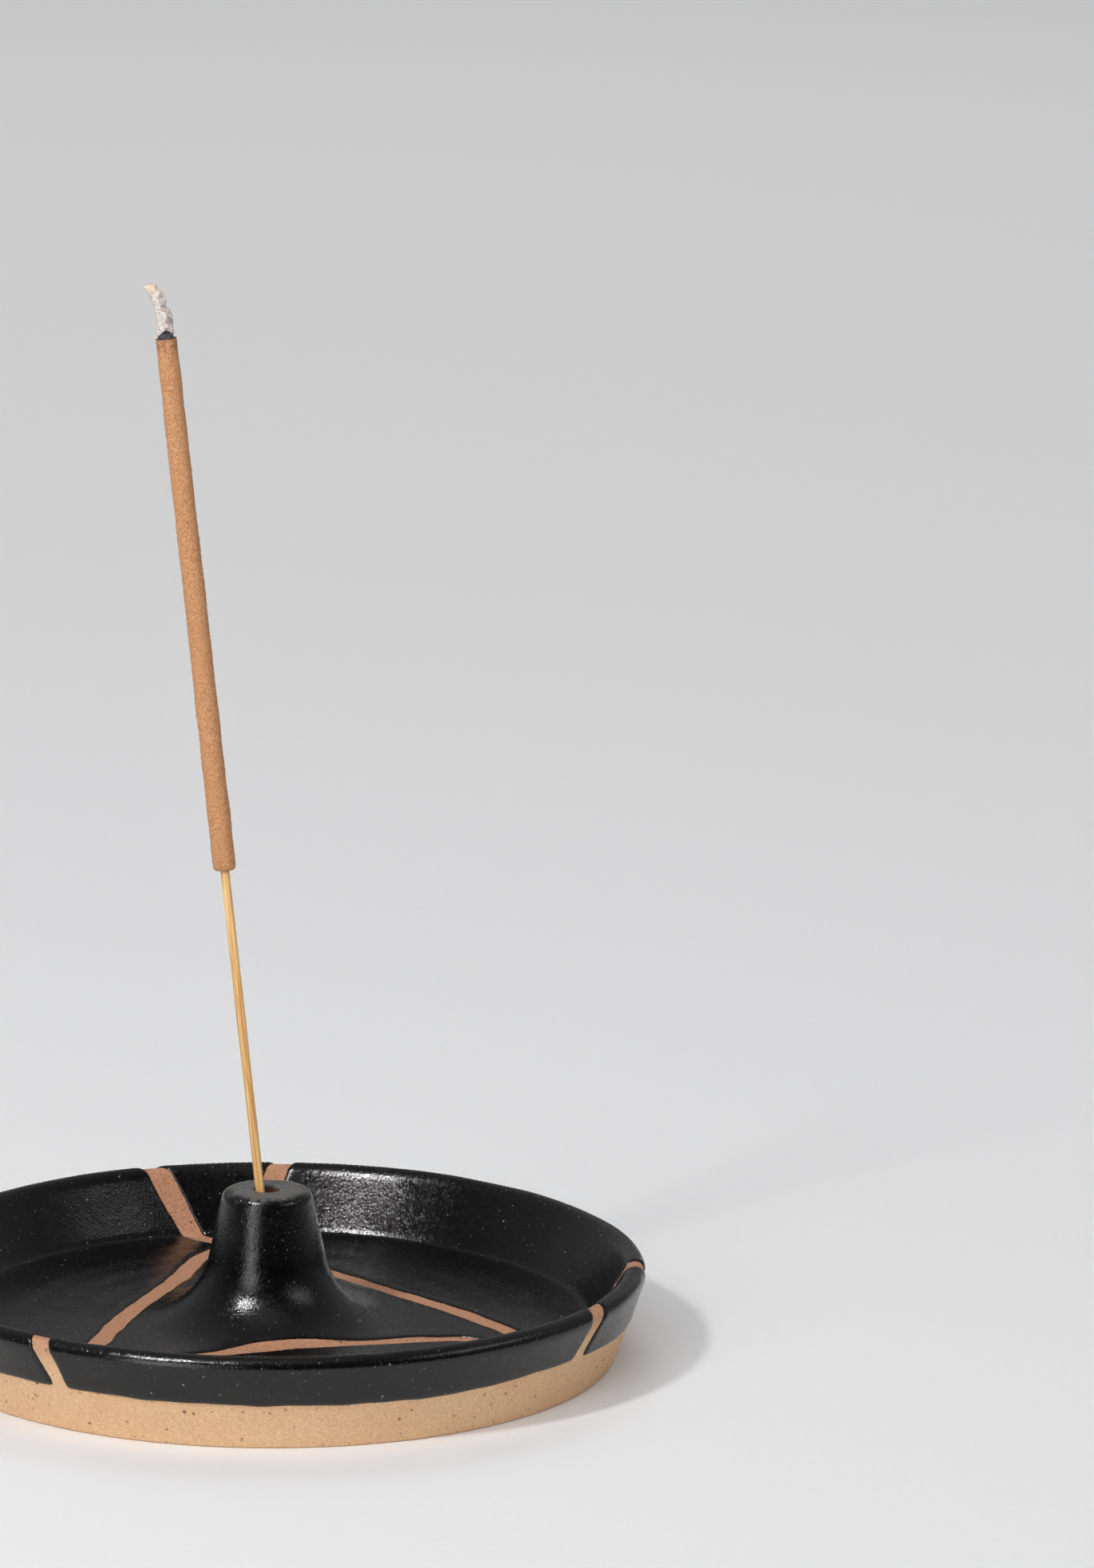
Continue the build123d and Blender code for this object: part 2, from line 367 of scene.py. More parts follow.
# --------------------------------------------------------------------------- wax-resist strokes
# Plan view: the strokes of the CAD model, with the outer wall laid out flat past the lip's crest.
# Each knot holds x, y and the stroke's width there.
STROKES = (
    ((-20.4, 50.9, 2.8), (-17.4, 49.1, 3.0), (-13.4, 46.4, 2.7), (9.4, 25.2, 2.6), (19.0, 14.9, 2.6),
     (26.8, 7.2, 3.1), (35.4, -3.7, 2.8), (48.9, -25.2, 2.9), (53.0, -32.3, 2.7)),
    ((-0.6, 54.9, 3.0), (-12.5, 33.6, 2.8), (-14.6, 23.0, 3.1), (-17.6, 13.6, 2.8), (-20.8, 4.4, 3.0),
     (-22.9, -4.0, 3.0), (-31.3, -46.0, 2.9), (-32.5, -52.0, 2.6)),
    ((-45.0, -32.0, 3.0), (-7.6, -20.4, 2.6), (-2.6, -18.3, 3.1), (2.1, -16.8, 2.7), (11.6, -13.9, 2.1),
     (22.3, -11.1, 3.3), (29.0, -9.7, 2.6), (33.5, -11.2, 2.0), (55.0, -1.5, 3.2)),
)
OVERRUN = 14.0
PLAN_STEP = 0.7
BRUSH_TURN = 2.2
SLOW_EDGE, FINE_EDGE = 0.05, 0.022


def stroke_line(knots):
    """Evenly spaced centre points of a stroke with their widths, run on straight past both ends.

    The corners at the knots are eased as a loaded brush would take them.
    """
    knots = np.array(knots, float)
    first, last = knots[0].copy(), knots[-1].copy()
    for end, inner in ((first, knots[1]), (last, knots[-2])):
        away = end[:2] - inner[:2]
        end[:2] += away / np.hypot(*away) * OVERRUN
    knots = np.vstack([first, knots, last])
    along = np.concatenate([[0], np.cumsum(np.hypot(*np.diff(knots[:, :2], axis=0).T))])
    places = np.arange(0, along[-1], PLAN_STEP)
    line = np.stack([np.interp(places, along, knots[:, k]) for k in range(3)], 1)
    weights = np.exp(-((places[:, None] - places) / BRUSH_TURN) ** 2)
    inside = (places > 3 * BRUSH_TURN) & (places < places[-1] - 3 * BRUSH_TURN)
    smooth = weights @ line / weights.sum(1)[:, None]
    return np.where(inside[:, None], smooth, line)


class Stroke:
    """One brush stroke: how far a plan point is outside its painted edge."""

    def __init__(self, knots, seed):
        line = stroke_line(knots)
        self.center, self.width = line[:, :2], line[:, 2]
        self.slow = {side: Ripple(seed + 1 + side, 9.0, 1) for side in (-1, 1)}
        self.fine = {side: Ripple(seed + 4 + side, 1.7, 1) for side in (-1, 1)}

    def half_width(self, along, side):
        slow = np.where(side > 0, self.slow[1](along), self.slow[-1](along))
        fine = np.where(side > 0, self.fine[1](along), self.fine[-1](along))
        width = np.interp(along, np.arange(len(self.width)) * PLAN_STEP, self.width)
        return width / 2 + SLOW_EDGE * slow + FINE_EDGE * fine

    def outside(self, plan):
        best = np.full(len(plan), np.inf)
        along = np.zeros(len(plan))
        side = np.zeros(len(plan))
        for i, (a, run) in enumerate(zip(self.center, np.diff(self.center, axis=0))):
            offset = plan - a
            t = np.clip(offset @ run / (run @ run), 0, 1)
            gap = offset - t[:, None] * run
            distance = gap[:, 0] ** 2 + gap[:, 1] ** 2
            closer = distance < best
            best[closer] = distance[closer]
            along[closer] = (i + t[closer]) * PLAN_STEP
            side[closer] = np.sign(run[0] * gap[closer, 1] - run[1] * gap[closer, 0])
        return np.sqrt(best) - self.half_width(along, side)


strokes = [Stroke(knots, 20 * i + 40) for i, knots in enumerate(STROKES)]
line_wave = ring_noise(5, 9)
line_fine = ring_noise(6, 60, 12)
mouth_wave = ring_noise(8, 5)
CORNER_ROUND = 0.28


def plan_radius(s):
    """Radius in the plan view, where the outer wall is laid out flat past the crest."""
    radius = outline.at(s)[0]
    return np.where(s > mark["crest"], outline.at(mark["crest"])[0] + s - mark["crest"], radius)


PLAN_S = np.arange(mark["mouth"] - 0.45, mark["foot"], 0.05)
PLAN_R = plan_radius(PLAN_S)
GLAZE_MOUTH_S = mark["mouth"] - 0.25


def edge_gaps(s, angle):
    """Distances in from every stroke, from the glaze line and from the hole."""
    radius = plan_radius(s)
    plan = np.stack([off_axis(s) + radius * np.cos(angle), radius * np.sin(angle)], 1)
    gaps = [stroke.outside(plan) for stroke in strokes]
    gaps.append(glaze_line_s + 0.16 * line_wave(angle) + 0.05 * line_fine(angle) - s)
    gaps.append(s - GLAZE_MOUTH_S - 0.1 * mouth_wave(angle))
    return np.array(gaps)


def inside_glaze(s, angle):
    """Distance in from the glaze's edge, with the fields' corners rounded; negative on bare clay."""
    gaps = edge_gaps(s, angle)
    nearest = gaps.min(0)
    return nearest - CORNER_ROUND * np.log(np.exp(-(gaps - nearest) / CORNER_ROUND).sum(0))


def pinched(s, angle):
    """1 in the narrow corners between two strokes, where the wax left the glaze thin."""
    second = np.sort(edge_gaps(s, angle)[:len(strokes)], axis=0)[1]
    return 1 - smoothstep(0.4, 2.2, second)


# Each bead of glaze: x and y in the plan view, size across and height.
BEADS = ((-11.9, 46.2, 0.75, 0.30), (36.5, -12.5, 0.6, 0.10), (-29.5, -30.5, 0.7, 0.12))
EDGE_ROUND = 0.6
ROLL_HEIGHT, ROLL_PLACE, ROLL_WIDTH = 0.03, 0.95, 0.5


def glaze_lift(depth, s, angle):
    """Thickness of the glaze: a rounded edge, the roll behind it and a few beads."""
    t = np.clip(depth / EDGE_ROUND, 0, 1)
    coat = GLAZE * np.sqrt(1 - (1 - t) ** 2)
    roll = ROLL_HEIGHT * np.exp(-((depth - ROLL_PLACE) / ROLL_WIDTH) ** 2)
    radius = plan_radius(s)
    plan_x, plan_y = radius * np.cos(angle), radius * np.sin(angle)
    beads = np.zeros(len(radius))
    for x, y, size, height in BEADS:
        beads += height * np.exp(-((plan_x - x) ** 2 + (plan_y - y) ** 2) / size**2)
    return coat + (roll + beads) * smoothstep(0, 0.4, depth)


# --------------------------------------------------------------------------- glaze mesh
LEVELS = (0.0, 0.05, 0.17, 0.36, 0.6)
GRID, GRID_HALF = 0.36, 66.0
POST_SPACING, WALL_SPACING = 0.42, 0.95
FEWEST_SIDES = 90
MERGE = 1e-5


def contours(level, xs, values):
    """Contour of a square grid of values: points, and pairs of point numbers."""
    above = values > level
    numbers, points, pairs = {}, [], []

    def crossing(i, j, k, l):
        key = (i, j, k, l)
        if key not in numbers:
            t = (level - values[i, j]) / (values[k, l] - values[i, j])
            numbers[key] = len(points)
            points.append((xs[i] + t * (xs[k] - xs[i]), xs[j] + t * (xs[l] - xs[j])))
        return numbers[key]

    mixed = above[:-1, :-1].astype(int) + above[1:, :-1] + above[:-1, 1:] + above[1:, 1:]
    for i, j in np.argwhere((mixed > 0) & (mixed < 4)):
        sides = [(i, j, i + 1, j), (i + 1, j, i + 1, j + 1), (i, j + 1, i + 1, j + 1), (i, j, i, j + 1)]
        cut = [crossing(*side) for side in sides if above[side[0], side[1]] != above[side[2], side[3]]]
        pairs += [tuple(cut[k:k + 2]) for k in range(0, len(cut), 2)]
    return np.array(points), pairs


def flat(s, angle):
    """The plane that the glaze is triangulated in: the whole glazed surface opened out."""
    reach = s - mark["mouth"] + MOUTH_RADIUS
    return np.stack([reach * np.cos(angle), reach * np.sin(angle)], -1)


def unflat(place):
    """Distance along the outline and angle of points in that plane."""
    reach = np.hypot(place[:, 0], place[:, 1])
    return reach + mark["mouth"] - MOUTH_RADIUS, np.arctan2(place[:, 1], place[:, 0])


def polar(plan):
    """Distance along the outline and angle of plan points."""
    return np.interp(np.hypot(plan[:, 0], plan[:, 1]), PLAN_R, PLAN_S), np.arctan2(plan[:, 1], plan[:, 0])


def depth_grid(xs):
    """Distance in from the glaze's edge on a square grid of plan points, -1 off the glazed surface."""
    grid_x, grid_y = np.meshgrid(xs, xs, indexing="ij")
    plan = np.stack([grid_x.ravel(), grid_y.ravel()], 1)
    depth = inside_glaze(*polar(plan))
    reach = np.hypot(plan[:, 0], plan[:, 1])
    depth[(reach > PLAN_R[-1] - 0.3) | (reach < PLAN_R[0])] = -1.0
    return depth.reshape(grid_x.shape)


def contour_points():
    """Points of the contours at and near the glaze's edge as s, angle and depth, and the pairs joined."""
    xs = np.arange(-GRID_HALF, GRID_HALF + GRID, GRID)
    depth = depth_grid(xs)
    parts, pairs = [], []
    count = 0
    for level in LEVELS:
        points, level_pairs = contours(level, xs, depth)
        parts.append(np.stack([*polar(points), np.full(len(points), level)]))
        pairs += [(a + count, b + count) for a, b in level_pairs]
        count += len(points)
    return np.concatenate(parts, axis=1), pairs


def ring_points():
    """Points of the rings that fill each field inside the last contour, as s, angle and depth."""
    parts = []
    for k, ring_s in enumerate(outline.stations(mark["mouth"] + 0.1, glaze_line_s)):
        radius = float(outline.at(ring_s)[0])
        spacing = POST_SPACING if ring_s < mark["floor"] - 4 else WALL_SPACING
        sides = max(FEWEST_SIDES, int(TAU * radius / spacing))
        angle = (np.arange(sides) + 0.5 * (k % 2)) * TAU / sides - math.pi
        s = np.full(sides, ring_s)
        depth = inside_glaze(s, angle)
        parts.append(np.stack([s, angle, depth])[:, depth > LEVELS[-1] + 0.25])
    return np.concatenate(parts, axis=1)


def glaze_net():
    """Triangles of the whole glaze coat over the flat plane, and the values at their points."""
    near_edge, pairs = contour_points()
    s, angle, depth = np.concatenate([near_edge, ring_points()], axis=1)
    found, _, triangles, origins, _, _ = delaunay_2d_cdt(
        [Vector(p) for p in flat(s, angle)], pairs, [], 0, MERGE, True)
    place = np.array([tuple(v) for v in found])
    s, angle = unflat(place)
    depth = np.array([depth[o[0]] if o else np.nan for o in origins])
    fresh = np.isnan(depth)
    if fresh.any():
        depth[fresh] = np.maximum(inside_glaze(s[fresh], angle[fresh]), 0)
    triangles = np.array(triangles)
    keep = (depth[triangles] > 0).any(1)
    doubtful = np.flatnonzero(~keep)
    keep[doubtful] = inside_glaze(*unflat(place[triangles[doubtful]].mean(1))) > 0
    return s, angle, depth, triangles[keep]


def split_fields(triangles, count):
    """Number of the connected field that each triangle belongs to."""
    parent = np.arange(count)

    def root(v):
        while parent[v] != v:
            parent[v] = parent[parent[v]]
            v = parent[v]
        return v

    for a, b, c in triangles:
        parent[root(a)] = root(b)
        parent[root(b)] = root(c)
    return np.array([root(t[0]) for t in triangles])


# Where each outer field crosses the lip's crest, in degrees, and a place in the central field.
FIELDS = {
    "glaze_back_wedge": 101.0,
    "glaze_rear_right": 45.0,
    "glaze_right_wedge": -15.0,
    "glaze_front": -76.0,
    "glaze_left_wedge": -134.5,
    "glaze_rear_left": 164.0,
}
CENTER_SEED = (14.0, 0.0)
BURY = 0.03


class FieldShell:
    """One field of glaze as a closed shell: its upper side, and an under side that shares its rim."""

    def __init__(self, triangles):
        self.used, own = np.unique(triangles, return_inverse=True)
        own = own.reshape(-1, 3)
        sides = np.sort(np.concatenate([own[:, [0, 1]], own[:, [1, 2]], own[:, [2, 0]]]), axis=1)
        sides, times = np.unique(sides, axis=0, return_counts=True)
        self.rim = sides[times == 1]
        self.on_rim = np.zeros(len(self.used), bool)
        self.on_rim[self.rim.ravel()] = True
        twin = np.arange(len(self.used))
        twin[~self.on_rim] = len(self.used) + np.arange((~self.on_rim).sum())
        self.faces = np.concatenate([own, twin[own][:, ::-1]])

    def points(self, top, under):
        top, under = top[self.used], under[self.used]
        return np.concatenate([np.where(self.on_rim[:, None], under, top), under[~self.on_rim]])

    def values(self, numbers):
        numbers = numbers[self.used]
        return np.concatenate([numbers, numbers[~self.on_rim]])


def add_glaze(material):
    s, angle, depth, triangles = glaze_net()
    labels = split_fields(triangles, len(s))
    top = surface(s, angle, glaze_lift(depth, s, angle))
    under = surface(s, angle, -BURY)
    values = {"edge": depth, "pinch": pinched(s, angle), "from_mouth": s - mark["mouth"]}
    centers = flat(s, angle)[triangles].mean(1)
    seeds = {name: flat(mark["crest"], math.radians(turn)) for name, turn in FIELDS.items()}
    seeds["glaze_center"] = np.array(CENTER_SEED)
    for name, seed in seeds.items():
        nearest = np.argmin(np.hypot(*(centers - seed).T))
        shell = FieldShell(triangles[labels == labels[nearest]])
        mesh_piece(f"{name}_coat", shell.points(top, under), shell.faces, material, "burner", [name],
                   {key: shell.values(numbers) for key, numbers in values.items()},
                   {tuple(pair) for pair in shell.rim.tolist()})


# --------------------------------------------------------------------------- clay mesh
CLAY_SIDES = 400
MIDDLE_GAP = 1.5


def add_clay(material):
    end = float(outline.s[-1])
    stations = np.concatenate([outline.stations(HOLE_RADIUS * 0.5, mark["mouth"]),
                               outline.stations(mark["mouth"], mark["crest"])[1:],
                               outline.stations(mark["crest"], end - MIDDLE_GAP)[1:]])
    ring = np.arange(CLAY_SIDES) * TAU / CLAY_SIDES
    s = np.concatenate([[0.0], np.repeat(stations, CLAY_SIDES), [end]])
    angle = np.concatenate([[0.0], np.tile(ring, len(stations)), [0.0]])
    points = surface(s, angle, 0.0)
    points[:, 2] = np.maximum(points[:, 2], 0.0)
    mesh_piece("dish_clay", points, tube_faces(len(stations), CLAY_SIDES), material, "burner",
               ["clay_body"], {"past_crest": s - mark["crest"], "from_mouth": s - mark["mouth"]})


# --------------------------------------------------------------------------- incense stick
axis = Vector(frame["joints"][0]["axis"])
CORE_RADIUS = 0.68
COAT_RADIUS, COAT_TIP_RADIUS = 1.7, 1.56
stick_across = np.array((-axis.z, 0.0, axis.x))
stick_side = np.array((0.0, -1.0, 0.0))
stick_along = np.array(axis)
core_low, core_high = box_mm("bamboo_core")
coat_low, coat_high = box_mm("incense_coat")
STICK_LENGTH = (core_high[2] - core_low[2] - 2 * CORE_RADIUS * abs(axis.x)) / axis.z
stick_foot = np.array([core_high[0] - CORE_RADIUS * axis.z, 0.0, core_low[2] + CORE_RADIUS * abs(axis.x)])
COAT_START = STICK_LENGTH - (coat_high[2] - coat_low[2]) / axis.z + 0.35


def on_stick(along, across, side):
    """Points in the shared frame from distances along the stick, to its left and towards its front."""
    along, across, side = (np.asarray(v, float)[..., None] for v in (along, across, side))
    return stick_foot + along * stick_along + across * stick_across + side * stick_side


def add_rod(name, rows, columns, shape, material, nodes):
    """A closed rod: shape(row share, angle) gives distance along the stick, radius and sideways offset."""
    share = np.repeat(np.linspace(0, 1, rows), columns)
    angle = np.tile(np.arange(columns) * TAU / columns, rows)
    along, radius, drift = shape(share, angle)
    sides = on_stick(along, drift + radius * np.cos(angle), radius * np.sin(angle))
    points = np.concatenate([[sides[:columns].mean(0)], sides, [sides[-columns:].mean(0)]])
    local = (points - stick_foot) @ np.stack([stick_across, stick_side, stick_along], 1)
    values = {"along": local[:, 2], "across": local[:, 0], "side": local[:, 1]}
    mesh_piece(name, points, tube_faces(rows, columns), material, "incense_stick", nodes, values)


def add_bamboo(material):
    split = ring_noise(31, 7)
    fibre = ring_noise(32, 26, 14)
    knot = Ripple(33, 30.0, 1)

    def shape(share, angle):
        bulk = 1 + 0.025 * split(angle) + 0.012 * fibre(angle) + 0.012 * knot(share * STICK_LENGTH)
        return share * STICK_LENGTH, (CORE_RADIUS + 0.015 - 0.05 * share) * bulk, 0.0

    add_rod("bamboo_stick", 260, 48, shape, material, ["bamboo_core"])


# The rows up to the first share round the coat's lower end, and those past the second its top.
COAT_END_ROWS, COAT_TOP_ROWS = 0.022, 0.988
COAT_TOP_RADIUS = 1.05
END_ROUND = 0.75
FOLD_ANGLE, FOLD_DEPTH = math.radians(75), 0.42


def add_paste(material):
    """The rolled paste, with a fold in its lower end."""
    length = STICK_LENGTH - COAT_START
    inner = CORE_RADIUS - 0.04
    lump = Ripple(34, 7.0, 3)
    grain = Ripple(35, 0.75, 3, 26)
    sand = Ripple(36, 0.34, 3, 26)
    lobes = ring_noise(37, 3)

    def shape(share, angle):
        low = np.clip(share / COAT_END_ROWS, 0, 1)
        top = np.clip((share - COAT_TOP_ROWS) / (1 - COAT_TOP_ROWS), 0, 1)
        along = COAT_START + length * np.clip((share - COAT_END_ROWS) / (COAT_TOP_ROWS - COAT_END_ROWS), 0, 1)
        full = COAT_RADIUS + (COAT_TIP_RADIUS - COAT_RADIUS) * (along - COAT_START) / length
        turn = low * UP
        radius = np.where(low < 1, inner + (full - inner) * np.sin(turn) ** 0.7, full)
        along = along + END_ROUND * np.where(low < 1, (1 - np.cos(turn)) ** 1.3, 1) * (1 - share)
        along = along + 0.16 * lobes(angle) * (1 - low ** 2) * smoothstep(0.1, 0.6, low)
        notch = np.exp(-(np.angle(np.exp(1j * (angle - FOLD_ANGLE))) / 0.20) ** 2)
        fold = notch * (1 - smoothstep(0.3, 1.7, along - COAT_START))
        radius = radius - FOLD_DEPTH * fold * smoothstep(0.15, 0.7, low)
        radius = np.where(top > 0, full - (full - COAT_TOP_RADIUS) * top ** 6, radius)
        place = on_stick(along, radius * np.cos(angle), radius * np.sin(angle))
        rough = (0.035 * lump(place) + 0.022 * grain(place) + 0.014 * sand(place)) * smoothstep(0.1, 0.8, low)
        return along, radius + rough * (1 - 0.6 * top), 0.02 * np.sin(along / 9.0) * smoothstep(0, 1, low)

    add_rod("incense_paste", 620, 72, shape, material, ["incense_coat"])


CHAR_HEIGHT, CHAR_BURY, CHAR_DRIFT = 1.65, 0.05, 0.02
CHAR_RADIUS, CHAR_FLARE = 1.06, 0.22


def add_char(material):
    crumble = Ripple(38, 0.5, 3, 26)

    def shape(share, angle):
        height = CHAR_HEIGHT * share
        radius = CHAR_RADIUS + CHAR_FLARE * np.exp(-((height / 0.32) ** 2))
        place = on_stick(STICK_LENGTH + height, radius * np.cos(angle), radius * np.sin(angle))
        rough = 0.03 * crumble(place) * np.sin(share * math.pi)
        return STICK_LENGTH - CHAR_BURY + height, radius + rough, CHAR_DRIFT

    add_rod("char_tip", 18, 64, shape, material, ["char_cone"])


# Ash column up to its crumbled tip: height over the burn front, shift to the left, and radius.
ASH_OUTLINE = (
    (0.0, 0.03, 1.22), (0.8, 0.02, 1.23), (2.2, -0.05, 1.19), (3.4, 0.02, 1.23), (4.1, 0.15, 1.18),
    (4.4, 0.26, 1.10), (4.8, 0.56, 0.84), (5.2, 0.46, 1.00), (5.7, 0.42, 1.16), (6.5, 0.65, 1.12),
    (7.1, 1.08, 1.04), (7.85, 1.52, 0.98), (8.1, 1.50, 0.80), (8.24, 1.48, 0.50),
)
# How high its foot stands off the coat's end: degrees round the stick and height, with a peak at the
# front over the char.
ASH_FOOT = ((0, 0.24), (50, 0.79), (100, 1.50), (131, 1.03), (180, 0.50), (270, 0.15), (360, 0.24))


def add_ash(material):
    heights, shifts, radii = zip(*ASH_OUTLINE)
    degrees, lifts = zip(*ASH_FOOT)
    flake = Ripple(39, 1.3, 3, 22)
    powder = Ripple(40, 0.4, 3, 26)

    def shape(share, angle):
        height = heights[-1] * share
        radius = np.interp(height, heights, radii)
        drift = np.interp(height, heights, shifts)
        along = STICK_LENGTH + height + np.interp(angle, np.radians(degrees), lifts) * (1 - share) ** 5
        place = on_stick(along, drift + radius * np.cos(angle), radius * np.sin(angle))
        return along, radius + 0.05 * flake(place) + 0.03 * powder(place), drift

    add_rod("ash_curl", 90, 64, shape, material, ["ash_column"])


# --------------------------------------------------------------------------- materials
class Nodes:
    """Short calls for building one material's node tree."""

    def __init__(self, name):
        self.material = bpy.data.materials.new(name)
        self.material.use_nodes = True
        self.tree = self.material.node_tree
        self.shader = self.tree.nodes["Principled BSDF"]
        self.place = self.add("ShaderNodeTexCoord").outputs["Object"]

    def add(self, kind, **settings):
        node = self.tree.nodes.new(kind)
        for key, value in settings.items():
            setattr(node, key, value)
        return node

    def link(self, source, target):
        self.tree.links.new(source, target)

    def feed(self, socket, value):
        if isinstance(value, (int, float, tuple)):
            socket.default_value = value
        else:
            self.link(value, socket)

    def noise(self, per_metre, detail=2.0, roughness=0.5, place=None):
        node = self.add("ShaderNodeTexNoise")
        node.inputs["Scale"].default_value = per_metre
        node.inputs["Detail"].default_value = detail
        node.inputs["Roughness"].default_value = roughness
        self.link(place or self.place, node.inputs["Vector"])
        return node.outputs["Fac"]

    def cells(self, per_metre, place=None):
        node = self.add("ShaderNodeTexVoronoi")
        node.inputs["Scale"].default_value = per_metre
        self.link(place or self.place, node.inputs["Vector"])
        return node.outputs["Distance"]

    def specks(self, spacing, size, share, strength):
        """Round specks, at most one to each cell of the given spacing; share of the cells have one."""
        node = self.add("ShaderNodeTexVoronoi")
        node.inputs["Scale"].default_value = 1 / spacing
        self.link(self.place, node.inputs["Vector"])
        split = self.add("ShaderNodeSeparateColor")
        self.link(node.outputs["Color"], split.inputs["Color"])
        dot = self.ramp(node.outputs["Distance"], 0.4 * size / spacing, size / spacing, strength, 0.0)
        picked = self.maths("LESS_THAN", split.outputs["Red"], share)
        faint = self.maths("MULTIPLY_ADD", split.outputs["Green"], 0.7)
        faint.node.inputs[2].default_value = 0.3
        return self.maths("MULTIPLY", self.maths("MULTIPLY", dot, picked), faint)

    def speckled(self, colour, tint, kinds):
        """The colour with specks of each kind: spacing and size in metres, share and strength."""
        for kind in kinds:
            colour = self.mix(self.specks(*kind), colour, tint)
        return colour

    def attribute(self, name):
        return self.add("ShaderNodeAttribute", attribute_name=name).outputs["Fac"]

    def maths(self, operation, a, b=0.0):
        node = self.add("ShaderNodeMath", operation=operation)
        self.feed(node.inputs[0], a)
        self.feed(node.inputs[1], b)
        return node.outputs[0]

    def ramp(self, value, low, high, out_low=0.0, out_high=1.0):
        node = self.add("ShaderNodeMapRange", interpolation_type="SMOOTHSTEP")
        self.link(value, node.inputs["Value"])
        for key, number in (("From Min", low), ("From Max", high), ("To Min", out_low), ("To Max", out_high)):
            node.inputs[key].default_value = number
        return node.outputs["Result"]

    def mix(self, share, a, b):
        node = self.add("ShaderNodeMix", data_type="RGBA")
        self.feed(node.inputs["Factor"], share)
        self.feed(node.inputs["A"], a)
        self.feed(node.inputs["B"], b)
        return node.outputs["Result"]

    def combine(self, x, y, z):
        node = self.add("ShaderNodeCombineXYZ")
        for socket, value in zip(node.inputs, (x, y, z)):
            self.feed(socket, value)
        return node.outputs["Vector"]

    def bump(self, height, distance, strength=1.0, under=None):
        node = self.add("ShaderNodeBump")
        node.inputs["Strength"].default_value = strength
        node.inputs["Distance"].default_value = distance
        self.link(height, node.inputs["Height"])
        if under:
            self.link(under, node.inputs["Normal"])
        return node.outputs["Normal"]


def tone(red, green, blue):
    """Linear colour from 8-bit sRGB values."""
    def linear(v):
        v /= 255
        return v / 12.92 if v <= 0.04045 else ((v + 0.055) / 1.055) ** 2.4
    return (linear(red), linear(green), linear(blue), 1.0)


GLAZE_SPECKS = ((0.0026, 0.00021, 0.6, 0.9), (0.0009, 0.00012, 0.6, 0.6))
CLAY_SPECKS = ((0.0022, 0.0004, 0.55, 1.0), (0.0011, 0.0002, 0.6, 0.8), (0.0007, 0.00011, 0.5, 0.5))


def glaze_material():
    n = Nodes("black_glaze")
    thin = n.ramp(n.attribute("edge"), 0.0, 0.07, 0.4, 0.0)
    uneven = n.ramp(n.noise(700, 2), 0.2, 0.8, 0.0, 0.15)
    pinch = n.maths("MULTIPLY", n.ramp(n.attribute("pinch"), 0.25, 0.95), uneven)
    black = n.mix(n.ramp(n.noise(90, 3), 0.35, 0.7), (0.0020, 0.0020, 0.0024, 1), (0.0040, 0.0038, 0.0036, 1))
    colour = n.mix(n.maths("MAXIMUM", thin, pinch), black, tone(84, 54, 38))
    colour = n.speckled(colour, tone(168, 170, 176), GLAZE_SPECKS)
    dry = n.maths("ADD", n.attribute("from_mouth"), n.ramp(n.noise(500, 2), 0.3, 0.7, -0.6, 0.6))
    dry = n.ramp(dry, 2.9, 4.6, 1.0, 0.0)
    dusty = n.ramp(n.noise(2600, 2, 0.7), 0.35, 0.65, 0.2, 0.9)
    colour = n.mix(n.maths("MULTIPLY", dry, dusty), colour, tone(120, 119, 116))
    n.link(colour, n.shader.inputs["Base Color"])
    gloss = n.ramp(n.noise(1500, 2), 0.3, 0.7, 0.15, 0.28)
    n.link(n.maths("ADD", gloss, n.maths("MULTIPLY", dry, 0.22)), n.shader.inputs["Roughness"])
    n.shader.inputs["IOR"].default_value = 1.52
    peel = n.bump(n.noise(420, 2), 0.00005)
    fine = n.bump(n.noise(2600, 2, 0.6), 0.000045, 1.0, peel)
    pits = n.bump(n.ramp(n.cells(900), 0.05, 0.22), 0.00002, 0.7, fine)
    n.link(pits, n.shader.inputs["Normal"])
    return n.material


def clay_material():
    n = Nodes("bare_stoneware")
    band = n.ramp(n.attribute("past_crest"), 0.0, 6.0)
    grain = n.ramp(n.noise(2400, 3, 0.65), 0.3, 0.7)
    # Bare clay inside the basin: a warmer flashed hue, and darker as painted shade of the basin; past the
    # crest it turns to paler buff.
    flash_and_basin_shade = n.mix(grain, tone(160, 112, 84), tone(190, 144, 114))
    buff = n.mix(grain, tone(206, 168, 128), tone(226, 191, 153))
    buff = n.mix(n.ramp(n.noise(120, 3), 0.42, 0.72, 0.0, 0.35), buff, tone(216, 164, 124))
    colour = n.mix(band, flash_and_basin_shade, buff)
    colour = n.speckled(colour, tone(74, 50, 38), CLAY_SPECKS)
    mouth = n.ramp(n.attribute("from_mouth"), -0.2, 0.3, 1.0, 0.0)
    colour = n.mix(n.maths("MULTIPLY", mouth, 0.92), colour, tone(50, 28, 21))
    n.link(colour, n.shader.inputs["Base Color"])
    n.shader.inputs["Roughness"].default_value = 0.86
    n.shader.inputs["IOR"].default_value = 1.4
    sand = n.bump(n.noise(2300, 3, 0.7), 0.00007)
    grit = n.bump(n.cells(1500), 0.00004, 0.8, sand)
    n.link(grit, n.shader.inputs["Normal"])
    return n.material


def stick_place(n, stretch):
    """Texture space that follows the stick, with its length drawn out by stretch."""
    scales = {"across": MM, "side": MM, "along": MM / stretch}
    return n.combine(*(n.maths("MULTIPLY", n.attribute(name), scale) for name, scale in scales.items()))


